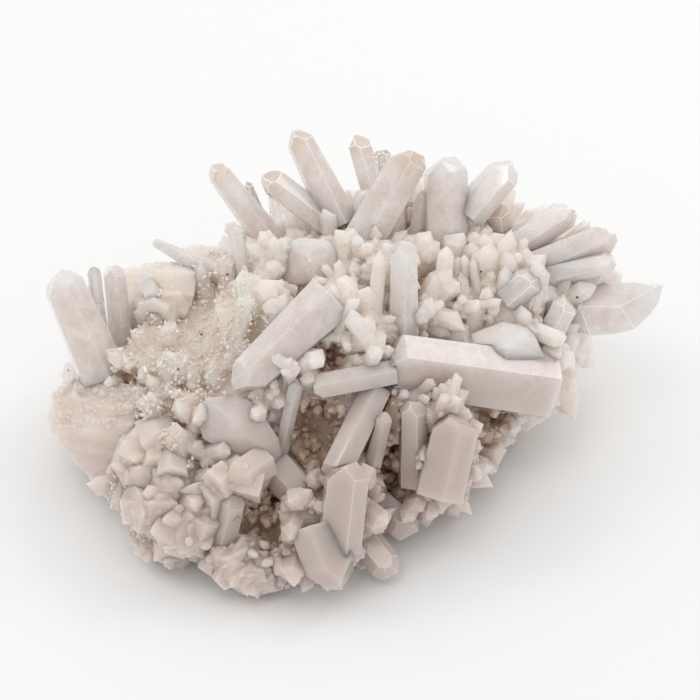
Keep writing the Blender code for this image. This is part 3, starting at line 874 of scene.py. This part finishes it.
for k, (name, shards) in enumerate(BROKEN.items()):
    groove_depth = GROOVE_DEPTH if name == "left_wedge" else 0.0
    broken_piece(name, FIRST_SEED + SEEDS_APART * k, groove_depth, shards)

# The large crystals: six-sided prisms with pointed ends, each grown from its root in the lump.
# They are milky to clear inside, some with a smoky point, and their edges are slightly worn and
# lightened with painted highlight.
CLEAR = (
    "left_twin_small", "top_left_side_crystal", "top_small_crystal", "back_tall_prism",
    "back_right_prism",
)
SMOKY = (
    "top_left_prism", "top_left_side_crystal", "upper_left_prism", "top_peak_prism",
    "top_chisel_prism", "top_small_crystal", "upper_broad_crystal", "pinkish_end_crystal",
    "slot_crystal", "back_left_prism", "back_tall_prism", "back_short_prism", "back_low_prism",
)
# Crystals that get more painted shade, darker and browner, than their place alone gives them
SHADED_MORE = {
    "right_front_prism": 0.55, "right_lower_upright": 0.5, "lower_upright_prism": 0.25,
    "front_great_prism": 0.25, "foot_crystal": 0.2, "lower_right_stub": 0.3,
    "slanting_prism": 0.15, "right_lower_splinter": 0.4,
}
# Crystals with rounded, dissolved edges, and how wide the rounding is, in mm. The others have a
# narrow bright line along each edge, partly wear and partly painted highlight.
ROUNDED = {
    "lens_crystal": 1.3, "front_left_crystal": 1.1, "shard_fan_crystal": 0.7,
    "right_end_crystal": 0.9, "slanting_prism": 0.7, "foot_crystal": 0.9,
    "right_front_prism": 0.5, "front_great_prism": 0.5,
}
WORN_EDGE = 0.19
ROUNDING_STEPS = 3
WORN_EDGE_STEPS = 2
SHARPEST_LEFT = math.radians(14)
WELDED = 0.00001
PAST_SMOKE = 15 * MM

# What is inside crystal quartz, by its place in the crystal in mm: cloud, the cloudy sheets of
# tiny bubbles; milk, the cloud with the cells that grew side by side; flaws, its cracks and single
# bubbles; and steps, the fine bands across its long faces
veils, takes, gives = new_group(
    "quartz_veils", [("Place", VECTOR)],
    [("Cloud", FLOAT), ("Milk", FLOAT), ("Flaws", FLOAT), ("Steps", FLOAT)])
place = takes.outputs["Place"]
cloud = span(veils, add(veils, "ShaderNodeTexNoise", [
    ("Vector", place), ("Scale", 0.16), ("Detail", 5.0), ("Roughness", 0.62),
    ("Distortion", 0.7)]).outputs["Fac"], 0.32, 0.68)
feed(veils, gives.inputs["Cloud"], cloud)
cell_place = add(veils, "ShaderNodeMapping", [("Vector", place), ("Scale", (0.3, 0.3, 0.1))])
cell = add(veils, "ShaderNodeTexVoronoi", [("Vector", cell_place.outputs[0]), ("Scale", 1.0)])
cell_tone = add(veils, "ShaderNodeSeparateColor", [("Color", cell.outputs["Color"])])
feed(veils, gives.inputs["Milk"], reckon(
    veils, "ADD", reckon(veils, "MULTIPLY", cloud, 0.65),
    reckon(veils, "MULTIPLY", cell_tone.outputs[0], 0.35)))
crack_shift = add(veils, "ShaderNodeTexNoise", [
    ("Vector", place), ("Scale", 0.3), ("Detail", 2.0)])
crack_place = add(veils, "ShaderNodeVectorMath", [
    (0, place), (1, crack_shift.outputs["Color"])], operation="ADD")
crack = add(veils, "ShaderNodeTexVoronoi", [
    ("Vector", crack_place.outputs[0]), ("Scale", 0.12)], feature="DISTANCE_TO_EDGE")
flawed_part = add(veils, "ShaderNodeTexNoise", [
    ("Vector", place), ("Scale", 0.11), ("Detail", 1.0)]).outputs["Fac"]
cracks = reckon(veils, "MULTIPLY", span(veils, crack.outputs["Distance"], 0.0, 0.05, 1.0, 0.0),
                span(veils, flawed_part, 0.48, 0.62))
bubble = add(veils, "ShaderNodeTexVoronoi", [("Vector", place), ("Scale", 1.3)])
bubble_size = add(veils, "ShaderNodeSeparateColor", [("Color", bubble.outputs["Color"])])
bubble_dot = reckon(veils, "LESS_THAN", bubble.outputs["Distance"],
                    span(veils, bubble_size.outputs[0], 0.6, 1.0, 0.0, 0.34))
bubbles = reckon(veils, "MULTIPLY", bubble_dot, span(veils, flawed_part, 0.42, 0.55))
feed(veils, gives.inputs["Flaws"], reckon(
    veils, "MAXIMUM", reckon(veils, "MULTIPLY", cracks, 0.5),
    reckon(veils, "MULTIPLY", bubbles, 0.8)))
band_place = add(veils, "ShaderNodeMapping", [("Vector", place), ("Scale", (0.06, 0.06, 1.6))])
bands = add(veils, "ShaderNodeTexNoise", [
    ("Vector", band_place.outputs[0]), ("Scale", 1.0), ("Detail", 3.0), ("Roughness", 0.7)])
feed(veils, gives.inputs["Steps"], reckon(
    veils, "ADD", bands.outputs["Fac"], reckon(veils, "MULTIPLY", cloud, 0.35)))

# The finish of crystal quartz. Lengths are in metres, but the smoke reaches down from the point in
# mm. Each crystal sees another part of the veils, by up to the own shift.
OWN_SHIFT = (91.0, 37.0)
CRYSTAL_GLOW = 0.010
CRYSTAL_COAT = (1.0, 0.04)
CRYSTAL_BUMP = (0.35, 0.0003)
FLAW_WHITE = (1.0, 0.99, 0.98, 1)
SMOKE_DEPTH = 10.0
SMOKE_SHARE = 0.8
SOAK_COLOUR = (0.97, 0.92, 0.88, 1)
SOAK_DENSITY = 120


def crystal_finish(name, clean, milk, smoke, see_through, rough):
    """Crystal quartz: see-through, with milk in it, steps across its faces and a smoky point."""
    made, tree, surface = quartz(name, CRYSTAL_GLOW, *CRYSTAL_COAT)
    place = add(tree, "ShaderNodeAttribute", attribute_name="grown").outputs["Vector"]
    chance = add(tree, "ShaderNodeObjectInfo").outputs["Random"]
    own_shift = add(tree, "ShaderNodeCombineXYZ", [
        ("X", reckon(tree, "MULTIPLY", chance, OWN_SHIFT[0])),
        ("Y", reckon(tree, "MULTIPLY", chance, OWN_SHIFT[1]))])
    shifted = add(tree, "ShaderNodeVectorMath", [
        (0, place), (1, own_shift.outputs[0])], operation="ADD")
    inside = add(tree, "ShaderNodeGroup", [("Place", shifted.outputs[0])], node_tree=veils)
    body = mix_colour(tree, inside.outputs["Milk"], clean, milk)
    below_point = add(tree, "ShaderNodeSeparateXYZ", [("Vector", place)]).outputs["Z"]
    smoky = reckon(tree, "MULTIPLY", span(tree, below_point, 0.0, SMOKE_DEPTH, 1.0, 0.0),
                   SMOKE_SHARE)
    flawed = mix_colour(tree, inside.outputs["Flaws"], mix_colour(tree, smoky, body, smoke),
                        FLAW_WHITE)
    # Painted shade, darker and browner, low on the display side
    low_shaded = add(tree, "ShaderNodeGroup", [
        ("Colour", flawed), ("Shade", LOW_SHADE_BROWN)], node_tree=painted_low_shade)
    roughness = span(tree, inside.outputs["Cloud"], 0.0, 1.0, rough[0], rough[1])
    finish_surface(tree, surface, low_shaded.outputs["Colour"], roughness,
                   inside.outputs["Steps"], CRYSTAL_BUMP)
    surface.inputs["Transmission Weight"].default_value = see_through
    soak = add(tree, "ShaderNodeVolumeAbsorption")
    soak.inputs["Color"].default_value = SOAK_COLOUR
    soak.inputs["Density"].default_value = SOAK_DENSITY
    feed(tree, tree.nodes["Material Output"].inputs["Volume"], soak.outputs[0])
    return made


milky_finish = crystal_finish(
    "milky_crystal", (0.78, 0.665, 0.615, 1), (0.98, 0.92, 0.885, 1), (0.66, 0.50, 0.40, 1),
    0.15, (0.06, 0.25))
clear_finish = crystal_finish(
    "clear_crystal", (0.94, 0.87, 0.84, 1), (1.0, 0.97, 0.95, 1), (0.82, 0.68, 0.56, 1),
    0.5, (0.08, 0.35))
# Partly wear and partly painted highlight: a whiter finish for the narrow edges, in place of the
# light they catch
edge_finish = mass_finish(
    "wear_and_edge_highlight", (0.88, 0.80, 0.76, 1), (1.0, 0.97, 0.945, 1), (0.15, 0.4), 0.5, 0.006)


def own_frame(mesh):
    """The crystal's own frame: its long axis from root to point, two sides, how far its point is
    along the axis, and its middle."""
    spread = np.zeros((3, 3))
    for face in mesh.polygons:
        n = np.array(face.normal)
        spread += face.area * np.outer(n, n)
    _, turns = np.linalg.eigh(spread)
    axis = Vector(turns[:, 0])
    middle = sum((v.co for v in mesh.vertices), Vector()) / len(mesh.vertices)
    if axis.dot(middle - LUMP_MIDDLE) < 0:
        axis = -axis
    side = axis.orthogonal().normalized()
    far = max(v.co.dot(axis) for v in mesh.vertices)
    return axis, side, axis.cross(side), far, middle


def mark_own_place(mesh, more, smoky):
    """Gives the mesh its own places, in mm: across, through, and down from the point."""
    axis, side, third, far, middle = own_frame(mesh)
    if not smoky:
        far += PAST_SMOKE
    places = []
    for v in mesh.vertices:
        off = v.co - middle
        places += [off.dot(side) / MM, off.dot(third) / MM, (far - v.co.dot(axis)) / MM]
    mesh.attributes.new("grown", "FLOAT_VECTOR", "POINT").data.foreach_set("vector", places)
    # How much painted shade, darker and browner, each point of the crystal gets
    mark(mesh, "low", [min(1.0, lowness(v.co) + more) for v in mesh.vertices])


for name in crystal_names:
    if name in BROKEN:
        continue
    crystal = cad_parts[name]
    mark_own_place(crystal.data, SHADED_MORE.get(name, 0.0), name in SMOKY)
    body_finish = clear_finish if name in CLEAR else milky_finish
    # The fan of shards takes the whiter edge finish all over: partly its own white, partly painted
    # light
    if name == "shard_fan_crystal":
        body_finish = edge_finish
    dress(crystal.data, [body_finish, edge_finish])
    weld = crystal.modifiers.new("weld", "WELD")
    weld.merge_threshold = WELDED
    bevel = crystal.modifiers.new("bevel", "BEVEL")
    bevel.width = ROUNDED.get(name, WORN_EDGE) * MM
    bevel.segments = ROUNDING_STEPS if name in ROUNDED else WORN_EDGE_STEPS
    bevel.limit_method = "ANGLE"
    bevel.angle_limit = SHARPEST_LEFT
    bevel.material = 0 if name in ROUNDED else 1
